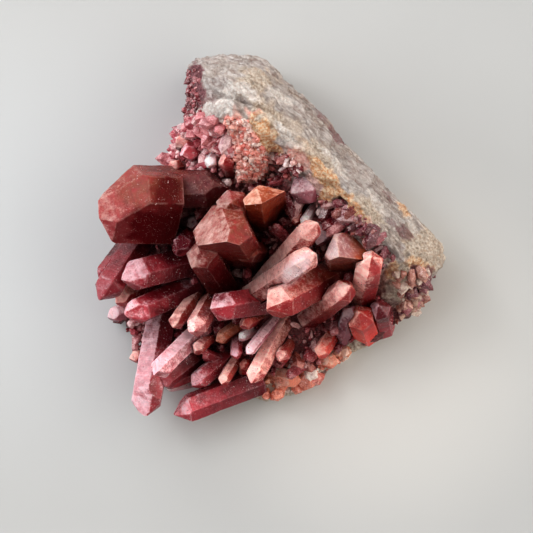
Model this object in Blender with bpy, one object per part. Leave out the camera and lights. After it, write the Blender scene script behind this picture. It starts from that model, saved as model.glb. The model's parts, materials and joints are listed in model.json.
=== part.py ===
"""A red quartz cluster: stout hexagonal crystals growing off one piece of pale vein rock.

Sizes are typed in millimetres and built in metres, +Z up. X runs to the right and Y to the back as seen
from above, with the specimen resting on the flat underside of its rock. The rock is one solid. Each
crystal, or each bunch of crystals that grew through one another, is one more solid that ends on the rock.
"""

import math
from collections import namedtuple

import bmesh
import bpy
from mathutils import Matrix, Vector, noise

MM = 0.001
GAP = 0.3 * MM  # clearance between touching crystals
ROCK_GAP = 0.4 * MM  # and between a crystal's foot and the rock, measured at the rock's corners
OVERHEAD = 60  # taller than anything here, in millimetres
CRUST_FOOT = 1.2  # the crusts on the rock stop this far above its flat underside, in millimetres
RHOMB_TILT = math.radians(51.8)  # quartz: from the c axis to the normal of a tip face
FACES_AROUND = 6

# ---------------------------------------------------------------------------------------------------
# The rock. Its rim is a closed line seen from above; its top is a smooth survey through spot heights.

ROCK_CENTRE = (-1.8, 2.8)
ROCK_SPOKES = 100
ROCK_RINGS = 14
RIM_UNDERCUT = 0.93  # the underside's outline as a share of the rim's
ROCK_RIM = [  # x, y, clockwise from the back left
    (-20.5, 42.5), (-17.2, 44.0), (-12.5, 44.8), (-5.5, 44.5), (-1.0, 43.5), (1.0, 41.5),
    (2.8, 38.2), (6.0, 36.0), (8.2, 34.0), (11.5, 31.2), (14.0, 29.0), (15.8, 25.5),
    (17.8, 22.5), (21.0, 19.8), (24.5, 17.0), (27.0, 13.5), (30.0, 10.0), (33.2, 7.5),
    (36.5, 4.0), (39.5, 0.8), (42.5, -2.8), (43.5, -5.0), (42.0, -8.0), (39.8, -10.2),
    (38.2, -13.5), (35.5, -16.0), (34.5, -19.5), (31.0, -21.5), (29.0, -23.5), (25.0, -26.5),
    (20.0, -28.5), (17.0, -30.5), (13.2, -34.0), (9.0, -36.2), (6.0, -39.0), (0.8, -40.2),
    (-3.5, -41.0), (-9.2, -39.0), (-17.0, -36.0), (-23.0, -35.5), (-29.5, -34.0), (-32.0, -28.0),
    (-35.0, -24.0), (-37.5, -18.0), (-36.0, -9.0), (-31.0, -1.0), (-26.8, 6.0), (-25.0, 12.0),
    (-24.5, 17.5), (-22.8, 23.0), (-21.0, 28.0), (-20.2, 33.0), (-19.8, 36.0), (-20.6, 39.5),
]
HEIGHT_LINES = [  # x, y, z along lines on the rock's top
    [  # the crest of the wall, from the blunt end to the right-hand corner
        (-13.0, 34.0, 36.0), (-5.5, 32.8, 38.0), (-0.5, 29.5, 38.0), (4.5, 26.0, 37.0), (11.5, 17.8, 36.0),
        (18.2, 11.0, 34.0), (25.8, 2.0, 31.0), (32.0, -5.5, 26.0), (38.2, -6.5, 20.0),
    ],
    [  # halfway down its grey outer side
        (-2.5, 38.5, 34.0), (3.5, 32.5, 30.0), (8.2, 29.0, 28.0), (17.0, 19.5, 27.0),
        (24.5, 11.0, 25.0), (32.0, 2.8, 22.0), (38.0, -2.5, 17.0),
    ],
    [  # the rim below that side
        (1.0, 41.5, 17.0), (7.0, 35.0, 15.0), (15.8, 25.4, 14.0), (25.0, 16.4, 13.0),
        (33.2, 7.2, 12.0), (42.5, -4.0, 10.0),
    ],
]
HEIGHT_STEP = 3.0  # how far apart, in millimetres, the lines are read
SPOT_HEIGHTS = [  # x, y, z at single places
    # the blunt end at the back left
    (-9.2, 37.8, 37.0), (-16.8, 40.2, 30.0), (-5.5, 44.5, 20.0), (-13.0, 44.5, 21.0),
    (-19.5, 42.5, 22.0), (-20.0, 34.0, 25.0),
    # the inner side, which falls to the crystals
    (-8.0, 21.5, 30.0), (-14.2, 21.5, 25.0), (-20.5, 21.5, 18.0), (-10.5, 14.0, 22.0),
    (-1.0, 17.8, 17.0), (-2.5, 9.0, 15.0), (7.0, 13.5, 26.0), (7.0, 7.0, 17.0),
    (13.2, 5.2, 18.0), (20.5, 4.2, 27.0), (17.0, -4.5, 13.0), (25.8, -12.2, 14.0),
    (31.5, -12.5, 17.0), (36.0, -14.0, 11.0), (22.0, -21.0, 9.0), (31.0, -19.8, 8.0),
    # the bed under the crystals
    (-8.0, -8.5, 11.0), (-18.0, -3.5, 13.0), (-25.5, 1.5, 12.0), (-18.0, -16.0, 9.0),
    (-28.0, -16.0, 8.0), (-5.5, -21.0, 9.0), (7.0, -21.0, 9.0), (-23.0, -26.0, 6.0),
    (-30.5, -27.2, 4.5), (-13.0, -33.5, 5.0), (-0.5, -33.5, 5.5), (9.5, -31.0, 6.0),
    (17.0, -27.2, 6.0), (4.5, -38.5, 3.5), (-4.0, -39.5, 3.5), (-25.0, 12.0, 13.0),
    (-36.0, -16.0, 5.0), (-30.0, -33.0, 3.0),
]
SPOT_SPREAD = 3.6  # how far, in millimetres, each spot height rules before the next takes over
LUMP_SIZE, LUMP_HEIGHT = 9.0, 1.3  # broad unevenness of the top
GRAIN_SIZE, GRAIN_HEIGHT = 3.2, 0.5  # finer unevenness
RIM_HEIGHT, WAIST_HEIGHT = 0.9, 0.5  # the rim's and the side's points, as shares of the top's height
WAIST_BULGE = 0.3
FOOT_HEIGHT = 0.9  # where the undercut side turns under
ROCK_THINNING = 0.55  # the share of the surveyed triangles that stays

# ---------------------------------------------------------------------------------------------------
# The crystals. root and tip are the ends of the c axis; across is the width over two opposite sides.
# roll turns the first side away from the sky, to the right as seen along root to tip, in degrees.
# sides are the six prism faces' distances from the axis, and ends how far each tip face stands off the
# tip along the axis, both as shares of half the width.

Crystal = namedtuple("Crystal", "root tip across roll sides ends")
EVEN_SIDES = (1, 1, 1, 1, 1, 1)
THREE_TIP_FACES = (0, 0.45, 0, 0.45, 0, 0.45)
SIX_TIP_FACES = (0, 0.08, 0, 0.08, 0, 0.08)


def crystal(root, tip, across, roll=30, sides=EVEN_SIDES, ends=THREE_TIP_FACES):
    """One crystal's sizes, with the common shape where none is given."""
    return Crystal(root, tip, across, roll, sides, ends)


# Each piece: its material, then the crystals that are joined in it. A piece is cut back from those
# above it in this list, as a younger crystal stops against an older one.
PIECES = {
    "pale_head_crystals": ("rose", [
        crystal((-5.5, -6.4, 9), (-10.4, 1.1, 47), 15.0, -40, (0.42, 0.53, 0.59, 1.12, 1.40, 1.22), (1.2, 0.6, 0, 0, 0, 0.55)),
        crystal((-7.4, 3.6, 12), (-10.0, 8.4, 38), 7.0, -40, (1, 1, 1, 1, 1.1, 1.1), (0.2, 0.2, 0, 0, 0, 0.3)),
        crystal((-11.4, -14.0, 8), (-18.3, -3.0, 35), 7.4, -40, (1, 1, 1, 1, 1, 1), (0.2, 0.4, 0.4, 0.4, 0, 0)),
        crystal((-1.5, -3.5, 12), (-7.0, -4.2, 31), 5.0, 20),
    ]),
    "orange_head_crystal": ("rust", [
        crystal((-1.3, -1.0, 12), (-2.6, 8.0, 45), 10.4, 38, (0.05, 1.3, 1.25, 1.06, 0.77, 0.06), (1, 0.9, 0, 0, 0.7, 1)),
    ]),
    "great_left_crystal": ("rose", [
        crystal((-24.6, 7.7, 21.9), (-46.2, 7.9, 28), 18.8, 15, (1.13, 0.96, 0.9, 1.05, 0.98, 0.81), (0, -0.1, -0.2, -0.55, 0.5, 0.35)),
        crystal((-34.0, 11.6, 24), (-9.8, 11.8, 26.5), 8.6, -14, (1, 1, 1, 1, 1, 1), (0.2, -0.2, 0, 0, 0, -0.2)),
    ]),
    "stepped_crystal": ("rose", [
        crystal((18.2, -7.6, 12), (-1.4, -18.4, 30), 8.2, 20, (1, 1, 1, 1, 1, 1), (0.1, 0.5, 0, 0.3, 0, 0)),
    ]),
    "near_pale_rod": ("rose", [
        crystal((-5.0, -15.0, 15), (9.9, -4.6, 37), 5.8, 22, EVEN_SIDES, (0, 0.3, 0.5, 0.4, 0.2, 0)),
    ]),
    "far_pale_rod": ("rose", [
        crystal((-2.5, -12.0, 14), (10.6, 2.8, 36), 5.4, 22, EVEN_SIDES, (0, 0.3, 0.5, 0.4, 0.2, 0)),
    ]),
    "ridge_foot_crystal": ("rust", [
        crystal((17.0, -11.2, 8), (16.5, -5.0, 37), 10.0, 2, (0.06, 1.3, 1.52, 1.4, 0.76, 0.44), (1, 1, 0, 0.6, 0, 1)),
    ]),
    "upright_right_crystal": ("rose", [
        crystal((22.4, -17.5, 7), (24.4, -5.6, 33), 6.4, -30, EVEN_SIDES, (0, 0, 0.3, 0.3, 0.3, 0.2)),
    ]),
    "round_tip_crystal": ("rose", [
        crystal((9.0, -20.6, 8), (19.6, -12.6, 29), 5.6, -10, EVEN_SIDES, SIX_TIP_FACES),
    ]),
    "mid_left_crystal": ("wine", [
        crystal((1.5, -15.6, 10), (-14.8, -18.0, 27), 6.9, 30, EVEN_SIDES, (0, 0.4, 0.3, 0.3, 0.3, 0)),
    ]),
    "glassy_stub": ("rose", [
        crystal((-14.6, -15.0, 7), (-19.4, -23.8, 27), 4.8, 0, EVEN_SIDES, SIX_TIP_FACES),
    ]),
    "pale_table_crystal": ("wine", [
        crystal((-18.5, -5.8, 11), (-36.6, -10.4, 24), 7.6, 30, (0.9, 1, 1, 1, 1, 1), (-0.1, 0.3, 0.4, 0.5, 0.3, 0.2)),
    ]),
    "left_pair": ("wine", [
        crystal((-32.0, 0.5, 11), (-42.8, -15.8, 20), 6.8, 30, EVEN_SIDES, (0, 0.3, 0.3, 0.3, 0, 0)),
        crystal((-34.5, 0.0, 10), (-43.2, -12.0, 18), 5.0, 0),
    ]),
    "kite_end_crystal": ("wine", [
        crystal((-19.5, -12.6, 9), (-36.0, -19.9, 20), 6.2, 35, EVEN_SIDES, (0.4, 0.6, 0.5, 0.3, 0.2, -0.1)),
    ]),
    "pale_wedge": ("rose", [
        crystal((-29.0, -11.0, 7), (-39.4, -16.8, 14), 4.6, 30),
    ]),
    "lilac_left_crystal": ("lilac", [
        crystal((-33.0, -17.6, 4), (-41.6, -20.4, 9), 3.8, 20),
    ]),
    "long_front_prism": ("wine", [
        crystal((-26.8, -14.0, 5), (-32.2, -44.9, 15), 7.4, 30, EVEN_SIDES, (-0.3, 0.3, 0.3, 0.3, 0.3, 0.1)),
    ]),
    "slanting_prism": ("wine", [
        crystal((-14.0, -19.5, 6), (-29.6, -34.9, 23), 5.0, 30, EVEN_SIDES, (1.2, 0, 0, 0, 0, 1.2)),
    ]),
    "slanting_prism_shadow_twin": ("wine", [
        crystal((-15.0, -27.5, 3), (-28.4, -37.6, 15), 4.0, 0),
    ]),
    "narrow_pale_crystal": ("rose", [
        crystal((-17.5, -12.5, 7), (-24.7, -22.5, 21), 3.8, 30, EVEN_SIDES, (0, 0.3, 0.3, 0.3, 0.3, 0.2)),
    ]),
    "hidden_red_crystal": ("wine", [
        crystal((-18.5, 2.5, 11), (-23.6, -3.6, 26), 5.2, 10),
    ]),
    "mauve_blade": ("lilac", [
        crystal((-25.0, 4.0, 10), (-18.4, 3.0, 22), 3.6, 0),
    ]),
    "front_log": ("wine", [
        crystal((-2.5, -36.4, 4.9), (-24.3, -44.6, 8.6), 6.3, 12, EVEN_SIDES, (0.1, 0.0, 0.5, 0.6, 0.3, 0.3)),
    ]),
    "pink_split_rod": ("rose", [
        crystal((3.5, -21.0, 7), (-5.1, -36.6, 16), 4.6, 30, EVEN_SIDES, (0, 0.4, 0.3, 0.3, 0.3, 0.1)),
    ]),
    "bright_lilac_rod": ("lilac", [
        crystal((1.5, -20.0, 8), (-6.3, -29.6, 19), 2.6, 0),
    ]),
    "brown_rod": ("wine", [
        crystal((6.0, -22.0, 5), (-2.5, -33.0, 12), 3.2, 10),
    ]),
    "button_crystal": ("rose", [
        crystal((4.8, -25.0, 5), (2.0, -31.5, 15), 3.6, 15, EVEN_SIDES, SIX_TIP_FACES),
    ]),
    "small_pale_crystal": ("rose", [
        crystal((-2.0, -19.5, 7), (-7.4, -22.3, 19), 3.2, 0),
    ]),
    "white_shard": ("clear", [
        crystal((-2.6, -23.0, 6), (-8.2, -25.7, 15), 2.3, 20),
    ]),
    "elbow_crystals": ("rose", [
        crystal((-14.0, -23.5, 5), (-19.2, -28.8, 18), 3.2, 20),
        crystal((-15.5, -27.0, 5), (-20.4, -31.8, 15), 2.6, 10),
    ]),
    "red_bead_crystal": ("wine", [
        crystal((-9.0, -24.5, 6), (-8.9, -30.4, 17), 2.6, 10),
    ]),
    "brown_side_crystal": ("rust", [
        crystal((-6.0, -20.8, 7), (-14.2, -26.6, 13), 3.2, -10),
    ]),
    "front_pink_rod": ("rose", [
        crystal((-7.0, -28.0, 4), (-12.8, -37.3, 14), 2.9, 20),
    ]),
    "scarlet_bead": ("scarlet", [
        crystal((-7.0, -35.5, 3), (-6.4, -31.6, 14), 2.8, 0, EVEN_SIDES, SIX_TIP_FACES),
    ]),
    "front_red_pair": ("wine", [
        crystal((-9.5, -29.0, 4), (-20.2, -37.6, 14), 4.5, 20),
        crystal((-10.0, -32.8, 4), (-18.2, -29.2, 13), 2.8, 0),
    ]),
    "front_left_red_crystal": ("wine", [
        crystal((-15.5, -33.6, 3), (-27.4, -37.6, 10), 3.2, 30),
    ]),
    "white_sliver": ("clear", [
        crystal((-18.0, -37.0, 2), (-26.8, -38.4, 7), 1.9, 0),
    ]),
    "left_edge_pair": ("rose", [
        crystal((-29.0, -29.8, 3), (-36.1, -30.8, 7), 3.2, 20),
        crystal((-30.5, -29.5, 3), (-33.3, -35.2, 6.5), 2.0, 20),
    ]),
    "front_right_red_crystal": ("scarlet", [
        crystal((16.2, -23.4, 5), (11.7, -30.4, 14), 3.8, 20),
    ]),
    "orange_edge_pair": ("orange", [
        crystal((-1.5, -34.8, 3), (7.6, -36.4, 7), 4.4, 30),
        crystal((1.0, -33.5, 3), (3.1, -39.9, 5.5), 3.2, 10),
    ]),
    "orange_edge_slab": ("orange", [
        crystal((8.5, -30.5, 3), (17.2, -31.6, 7.5), 4.0, 10),
    ]),
    "scarlet_chunk": ("scarlet", [
        crystal((24.0, -24.6, 5), (21.6, -19.0, 20), 6.4, 15, EVEN_SIDES, SIX_TIP_FACES),
    ]),
    "maroon_chunk": ("wine", [
        crystal((28.4, -23.4, 4), (26.6, -17.2, 19), 5.2, 0, EVEN_SIDES, SIX_TIP_FACES),
    ]),
    "mauve_upright": ("lilac", [
        crystal((17.2, -27.0, 5), (20.0, -17.8, 19), 3.8, -20),
    ]),
    "ridge_mauve_lump": ("lilac", [
        crystal((14.5, 13.4, 20), (4.6, 10.6, 31), 7.0, 20, EVEN_SIDES, SIX_TIP_FACES),
    ]),
    "pale_needle": ("clear", [
        crystal((12.5, 10.0, 19), (7.4, 2.7, 27), 2.3, 10),
    ]),
    "shaded_mauve_crystal": ("lilac", [
        crystal((17.0, 9.5, 16), (11.2, -2.4, 25), 5.6, 20),
    ]),
    "small_ridge_crystal": ("rose", [
        crystal((7.5, 10.5, 13), (5.9, 3.2, 26), 3.0, 0),
    ]),
    "left_bank_upper_crystal": ("rose", [
        crystal((-17.5, 25.8, 15), (-24.2, 22.2, 21), 4.2, 20),
    ]),
    "left_bank_middle_crystal": ("wine", [
        crystal((-15.5, 23.0, 17), (-22.4, 20.0, 25), 4.4, -10),
    ]),
    "left_bank_lower_crystal": ("rose", [
        crystal((-19.0, 18.5, 14), (-26.2, 16.8, 19), 3.4, 20),
    ]),
    "left_bank_pale_crystal": ("clear", [
        crystal((-13.8, 22.0, 20), (-15.6, 17.4, 29), 2.8, 0),
    ]),
    "bank_twin_crystal": ("rose", [
        crystal((-10.0, 14.0, 17), (-11.4, 19.4, 31), 3.8, 0),
    ]),
}

# Crusts of small crystals on the rock: their outlines from above and how high their tips stand off it.
CRUSTS = {
    "upper_left_druse": (2.2, [
        (-21.5, 40.0), (-17.0, 40.0), (-15.5, 33.0), (-11.0, 28.0), (-7.0, 24.0), (-6.5, 17.0),
        (-12.0, 14.5), (-25.5, 13.5), (-26.0, 22.0), (-22.0, 31.0),
    ]),
    "ridge_foot_druse": (1.4, [
        (15.2, 8.7), (20.3, 7.2), (26.2, 0.8), (30.4, -5.6), (27.0, -8.4), (22.0, -1.0), (16.2, 3.1),
    ]),
    "corner_druse": (2.4, [
        (26.6, -10.6), (32.2, -9.0), (40.0, -8.5), (39.0, -13.5), (36.0, -18.5), (30.5, -22.5), (27.0, -15.0),
    ]),
    "front_edge_druse": (2.2, [
        (-5.0, -36.0), (6.0, -31.0), (17.0, -25.5), (21.0, -28.5), (13.0, -34.5), (4.0, -40.0), (-5.0, -41.5),
    ]),
    "left_bed_druse": (2.0, [
        (-37.0, -13.0), (-29.0, -9.0), (-27.0, -24.0), (-33.0, -27.0), (-37.5, -19.0),
    ]),
}
CRUST_MATERIAL = "wine"

FINISHES = {  # base colour, roughness
    "rock": ((0.55, 0.50, 0.46), 0.85),
    "rose": ((0.58, 0.25, 0.25), 0.45),
    "wine": ((0.32, 0.06, 0.08), 0.40),
    "rust": ((0.46, 0.18, 0.11), 0.45),
    "lilac": ((0.52, 0.38, 0.42), 0.40),
    "orange": ((0.66, 0.27, 0.17), 0.40),
    "scarlet": ((0.52, 0.10, 0.08), 0.40),
    "clear": ((0.72, 0.62, 0.64), 0.25),
}


def clear_scene():
    """Removes every object that is already in the scene."""
    for old in list(bpy.data.objects):
        bpy.data.objects.remove(old)


def finish(slot):
    """The material of one kind of quartz, or of the rock."""
    material = bpy.data.materials.get(slot) or bpy.data.materials.new(slot)
    material.use_nodes = True
    shader = material.node_tree.nodes["Principled BSDF"]
    colour, roughness = FINISHES[slot]
    shader.inputs["Base Color"].default_value = (*colour, 1)
    shader.inputs["Roughness"].default_value = roughness
    shader.inputs["Metallic"].default_value = 0
    return material


def add_object(name, mesh, slot=None):
    """Links a mesh into the scene as an object with its own material."""
    made = bpy.data.objects.new(name, mesh)
    bpy.context.scene.collection.objects.link(made)
    if slot:
        mesh.materials.append(finish(slot))
    return made


# ---------------------------------------------------------------------------------------------------
# The rock


def read_lines():
    """Spot heights at even steps along each of the height lines."""
    for line in HEIGHT_LINES:
        for start, end in zip(line, line[1:]):
            start, end = Vector(start), Vector(end)
            steps = math.ceil((end - start).length / HEIGHT_STEP)
            for step in range(steps):
                yield tuple(start.lerp(end, step / steps))
        yield line[-1]


ALL_SPOTS = [*read_lines(), *SPOT_HEIGHTS]


def rock_height(x, y):
    """The top's height in millimetres at x, y: the nearest spot heights, blended, and unevenness."""
    total = weights = 0.0
    for spot_x, spot_y, spot_z in ALL_SPOTS:
        reach = ((x - spot_x) ** 2 + (y - spot_y) ** 2 + SPOT_SPREAD**2) ** -2
        total += spot_z * reach
        weights += reach
    lump = noise.noise(Vector((x, y, 0)) / LUMP_SIZE) * LUMP_HEIGHT
    grain = noise.noise(Vector((x, y, 50)) / GRAIN_SIZE) * GRAIN_HEIGHT
    return total / weights + lump + grain


def rim_point(angle):
    """Where a ray from the rock's centre at this angle meets the rim, in millimetres."""
    ray = Vector((math.cos(angle), math.sin(angle)))
    centre = Vector(ROCK_CENTRE)
    for start, end in zip(ROCK_RIM, ROCK_RIM[1:] + ROCK_RIM[:1]):
        a, b = Vector(start) - centre, Vector(end) - centre
        side_a, side_b = ray.x * a.y - ray.y * a.x, ray.x * b.y - ray.y * b.x
        if side_a >= 0 > side_b:
            hit = a.lerp(b, side_a / (side_a - side_b))
            if hit.dot(ray) > 0:
                return centre + hit
    raise ValueError("the rim doesn't surround the rock's centre")


def rock_mesh():
    """The rock as rings of points from its centre to its rim, down its side and across its underside."""
    centre = Vector(ROCK_CENTRE)
    bm = bmesh.new()

    def ring(share, height_at, outward=0.0):
        made = []
        for spoke in range(ROCK_SPOKES):
            rim = rim_point(2 * math.pi * spoke / ROCK_SPOKES) - centre
            flat = centre + rim * share + rim.normalized() * outward
            made.append(bm.verts.new(Vector((flat.x, flat.y, height_at(flat))) * MM))
        return made

    def top(flat):
        return rock_height(flat.x, flat.y)

    peak = bm.verts.new(Vector((*centre, rock_height(*centre))) * MM)
    rings = [ring((step + 1) / ROCK_RINGS, top) for step in range(ROCK_RINGS - 1)]
    rings.append(ring(1.0, lambda flat: top(flat) * RIM_HEIGHT))
    rings.append(ring(1.0, lambda flat: top(flat) * WAIST_HEIGHT, WAIST_BULGE))
    rings.append(ring(0.98, lambda flat: FOOT_HEIGHT + top(flat) * 0.1))
    rings.append(ring(RIM_UNDERCUT, lambda flat: 0.0))
    for inner, outer in zip(rings, rings[1:]):
        for spoke in range(ROCK_SPOKES):
            after = (spoke + 1) % ROCK_SPOKES
            bm.faces.new((inner[spoke], outer[spoke], outer[after], inner[after]))
    for spoke in range(ROCK_SPOKES):
        bm.faces.new((peak, rings[0][spoke], rings[0][(spoke + 1) % ROCK_SPOKES]))
    bm.faces.new(reversed(rings[-1]))
    bmesh.ops.triangulate(bm, faces=[face for face in bm.faces if len(face.verts) == 4])
    bmesh.ops.recalc_face_normals(bm, faces=bm.faces)
    mesh = bpy.data.meshes.new("rock")
    bm.to_mesh(mesh)
    bm.free()
    return mesh


def simplify_rock(rock):
    """Thins the rock's triangles evenly and sets its underside flat again."""
    thin = rock.modifiers.new("thin", "DECIMATE")
    thin.ratio = ROCK_THINNING
    apply_modifiers(rock)
    bm = bmesh.new()
    bm.from_mesh(rock.data)
    for vert in bm.verts:
        if vert.co.z < FOOT_HEIGHT * MM / 2:
            vert.co.z = 0
    bm.to_mesh(rock.data)
    bm.free()


def swollen_rock(name, rock, height):
    """A copy of the rock with every point pushed out along its normal."""
    mesh = rock.data.copy()
    for vert in mesh.vertices:
        vert.co += vert.normal * height
    return add_object(name, mesh)


# ---------------------------------------------------------------------------------------------------
# The crystals


def cut_off(bm, point, outward):
    """Cuts away what lies past a plane and closes the cut with one flat face."""
    geometry = bm.verts[:] + bm.edges[:] + bm.faces[:]
    cut = bmesh.ops.bisect_plane(
        bm, geom=geometry, dist=1e-7, plane_co=point, plane_no=outward, clear_outer=True
    )
    edges = [item for item in cut["geom_cut"] if isinstance(item, bmesh.types.BMEdge)]
    if edges:
        bmesh.ops.edgeloop_fill(bm, edges=edges)


def crystal_mesh(spec, grow=0.0):
    """One convex crystal on its own axes: root at the origin, c axis up Z, the sky towards X.
    It is a block cut by six prism faces, six tip faces and a flat root."""
    half = spec.across * MM / 2
    length = (Vector(spec.tip) - Vector(spec.root)).length * MM
    bm = bmesh.new()
    bmesh.ops.create_cube(bm, size=4 * (length + half))
    cut_off(bm, Vector((0, 0, -grow)), Vector((0, 0, -1)))
    for number in range(FACES_AROUND):
        angle = math.radians(spec.roll + number * 360 / FACES_AROUND)
        sideways = Vector((math.cos(angle), math.sin(angle), 0))
        cut_off(bm, sideways * (spec.sides[number] * half + grow), sideways)
        tilted = sideways * math.sin(RHOMB_TILT) + Vector((0, 0, math.cos(RHOMB_TILT)))
        apex = Vector((0, 0, length + spec.ends[number] * half))
        cut_off(bm, apex + tilted * grow, tilted)
    bmesh.ops.recalc_face_normals(bm, faces=bm.faces)
    mesh = bpy.data.meshes.new("crystal")
    bm.to_mesh(mesh)
    bm.free()
    return mesh


def crystal_axes(spec):
    """The world matrix that lays a crystal's own axes along root to tip."""
    along = (Vector(spec.tip) - Vector(spec.root)).normalized()
    sky = (Vector((0, 0, 1)) - along * along.z).normalized()
    right = along.cross(sky)
    turn = Matrix((sky, right, along)).transposed().to_4x4()
    return Matrix.Translation(Vector(spec.root) * MM) @ turn


def place_crystal(name, spec, slot=None, grow=0.0):
    """A crystal as an object, laid along its axis."""
    made = add_object(name, crystal_mesh(spec, grow), slot)
    made.matrix_world = crystal_axes(spec)
    return made


# ---------------------------------------------------------------------------------------------------
# Joining and cutting


def apply_modifiers(target):
    """Keeps the result of an object's modifiers as its plain mesh."""
    bpy.context.view_layer.update()
    graph = bpy.context.evaluated_depsgraph_get()
    result = bpy.data.meshes.new_from_object(target.evaluated_get(graph))
    target.modifiers.clear()
    target.data = result


def combine(target, others, operation):
    """Joins the others to the target, cuts them from it or keeps what they share."""
    for other in others:
        modifier = target.modifiers.new(operation.lower(), "BOOLEAN")
        modifier.operation = operation
        modifier.object = other
    apply_modifiers(target)


def islands(bm):
    """The sets of faces that hang together."""
    left = set(bm.faces)
    while left:
        found = {left.pop()}
        edge = list(found)
        while edge:
            face = edge.pop()
            near = {other for side in face.edges for other in side.link_faces} & left
            left -= near
            found |= near
            edge.extend(near)
        yield found


def keep_largest(target):
    """Drops the splinters that a cut left on the far side of a neighbour."""
    bm = bmesh.new()
    bm.from_mesh(target.data)
    parts = sorted(islands(bm), key=lambda faces: sum(face.calc_area() for face in faces))
    dropped = [face for faces in parts[:-1] for face in faces]
    bmesh.ops.delete(bm, geom=dropped, context="FACES")
    bmesh.ops.remove_doubles(bm, verts=bm.verts, dist=0.02 * MM)
    bmesh.ops.dissolve_limit(
        bm, angle_limit=math.radians(0.3), verts=bm.verts, edges=bm.edges
    )
    bm.to_mesh(target.data)
    bm.free()


def box_of(made):
    """An object's lowest and highest corners in the world."""
    points = [made.matrix_world @ vert.co for vert in made.data.vertices]
    low = Vector([min(point[axis] for point in points) for axis in range(3)])
    high = Vector([max(point[axis] for point in points) for axis in range(3)])
    return low, high


def near(one, other):
    """Whether two objects' boxes meet."""
    (low, high), (other_low, other_high) = box_of(one), box_of(other)
    return all(low[axis] < other_high[axis] and other_low[axis] < high[axis] for axis in range(3))


def outline_prism(outline):
    """An upright block over an outline in millimetres, taller than the specimen."""
    bm = bmesh.new()
    base = bm.faces.new([bm.verts.new((x * MM, y * MM, CRUST_FOOT * MM)) for x, y in outline])
    top = bmesh.ops.extrude_face_region(bm, geom=[base])
    moved = [item for item in top["geom"] if isinstance(item, bmesh.types.BMVert)]
    bmesh.ops.translate(bm, vec=(0, 0, OVERHEAD * MM), verts=moved)
    bmesh.ops.recalc_face_normals(bm, faces=bm.faces)
    mesh = bpy.data.meshes.new("outline")
    bm.to_mesh(mesh)
    bm.free()
    return mesh


def build_crystals(rock_cutter):
    """Every crystal piece, cut back from the rock and from the older pieces. Returns their cutters."""
    cutters = []
    for name, (slot, specs) in PIECES.items():
        piece = place_crystal(name, specs[0], slot)
        joined = [place_crystal("joined", spec) for spec in specs[1:]]
        if joined:
            combine(piece, joined, "UNION")
        bpy.context.view_layer.update()
        older = [cutter for cutter in cutters if near(piece, cutter)]
        combine(piece, [rock_cutter, *older], "DIFFERENCE")
        keep_largest(piece)
        for spare in joined:
            bpy.data.objects.remove(spare)
        cutters += [place_crystal("cutter", spec, grow=GAP) for spec in specs]
        bpy.context.view_layer.update()
    return cutters


def build_crusts(rock, rock_cutter, cutters):
    """The crusts of small crystals: skins on the rock, cut back from every larger crystal."""
    for name, (height, outline) in CRUSTS.items():
        crust = add_object(name, outline_prism(outline), CRUST_MATERIAL)
        swollen = swollen_rock("swollen", rock, height * MM)
        combine(crust, [swollen], "INTERSECT")
        bpy.context.view_layer.update()
        combine(crust, [rock_cutter, *[cutter for cutter in cutters if near(crust, cutter)]], "DIFFERENCE")
        keep_largest(crust)
        bpy.data.objects.remove(swollen)


def centre_on_base():
    """Moves everything so that the origin is the middle of the whole specimen's underside."""
    everything = list(bpy.context.scene.collection.objects)
    boxes = [box_of(made) for made in everything]
    low = Vector([min(box[0][axis] for box in boxes) for axis in range(3)])
    high = Vector([max(box[1][axis] for box in boxes) for axis in range(3)])
    middle = Vector(((low.x + high.x) / 2, (low.y + high.y) / 2, low.z))
    for made in everything:
        made.data.transform(Matrix.Translation(-middle) @ made.matrix_world)
        made.matrix_world = Matrix.Identity(4)


def main():
    clear_scene()
    rock = add_object("matrix_rock", rock_mesh(), "rock")
    simplify_rock(rock)
    rock_cutter = swollen_rock("rock_cutter", rock, ROCK_GAP)
    cutters = build_crystals(rock_cutter)
    build_crusts(rock, rock_cutter, cutters)
    for spare in [rock_cutter, *cutters]:
        bpy.data.objects.remove(spare)
    centre_on_base()


main()
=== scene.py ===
"""The looks of the red quartz cluster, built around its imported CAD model.

Lengths whose names end in _MM, and all the places and sizes in the tables below, are millimetres in the
frame of the CAD model: X to the right and Y to the back as seen from above, and +Z up from the floor.
"""

import json
import math
from collections import namedtuple
from types import SimpleNamespace

import bmesh
import bpy
import numpy as np
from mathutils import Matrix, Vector, noise
from mathutils.bvhtree import BVHTree


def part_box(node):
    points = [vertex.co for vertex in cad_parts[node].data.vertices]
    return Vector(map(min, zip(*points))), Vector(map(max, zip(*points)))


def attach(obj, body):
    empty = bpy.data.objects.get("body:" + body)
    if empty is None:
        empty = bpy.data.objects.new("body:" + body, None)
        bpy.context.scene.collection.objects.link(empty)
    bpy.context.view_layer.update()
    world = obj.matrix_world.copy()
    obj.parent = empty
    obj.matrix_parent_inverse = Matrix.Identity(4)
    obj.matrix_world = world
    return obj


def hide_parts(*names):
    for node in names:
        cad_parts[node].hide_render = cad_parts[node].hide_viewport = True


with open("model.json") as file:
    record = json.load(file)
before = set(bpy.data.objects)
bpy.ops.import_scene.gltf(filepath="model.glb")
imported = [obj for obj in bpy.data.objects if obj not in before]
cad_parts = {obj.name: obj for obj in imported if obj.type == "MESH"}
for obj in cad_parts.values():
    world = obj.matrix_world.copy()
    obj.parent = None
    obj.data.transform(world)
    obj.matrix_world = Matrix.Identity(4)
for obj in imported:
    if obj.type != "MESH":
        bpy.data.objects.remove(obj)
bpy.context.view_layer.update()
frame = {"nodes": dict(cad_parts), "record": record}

MM = 0.001
SLOT_OF = {row["node"]: row["material_slot"] for row in frame["record"]["subparts"]}

# ---- Shader nodes ----


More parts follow.
